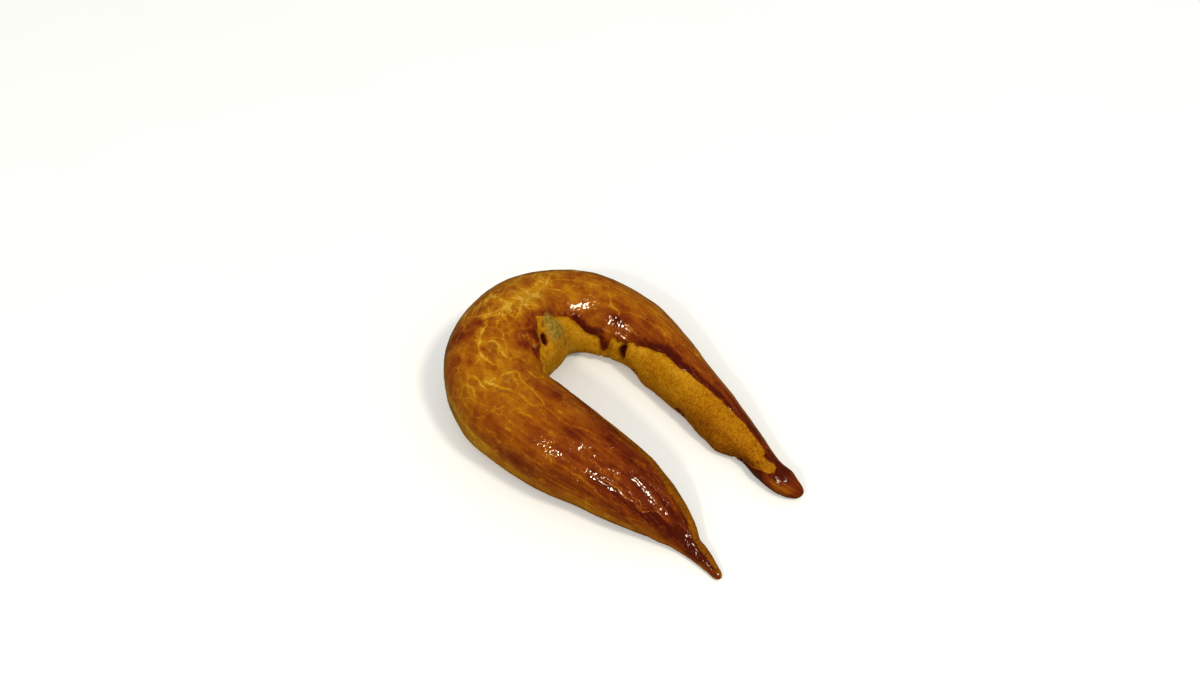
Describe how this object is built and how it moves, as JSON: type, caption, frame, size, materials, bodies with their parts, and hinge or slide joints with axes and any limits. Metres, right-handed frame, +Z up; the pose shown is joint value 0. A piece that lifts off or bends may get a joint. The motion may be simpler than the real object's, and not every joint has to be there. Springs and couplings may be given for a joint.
{
  "type": "poppy seed crescent roll",
  "caption": "Horseshoe-shaped filled yeast roll with a rounded bend, a fat and a slim tapering leg, a flat foot, and a glazed crust that ends in a bare dough face inside",
  "frame": {"origin": "middle of the bounding box, on the plane of the flat foot", "axes": "+Y points from the two tips to the rounded bend, +Z up, the fat leg is on the -X side and the slim leg on the +X side"},
  "size_m": [0.074, 0.1132, 0.0262],
  "materials": {
    "crust": "egg-washed crust, glossy amber to red-brown with fine pale cracks, and matte golden bare dough on the inner face"
  },
  "bodies": {
    "root": {"crescent_roll": "crust"}
  },
  "joints": []
}
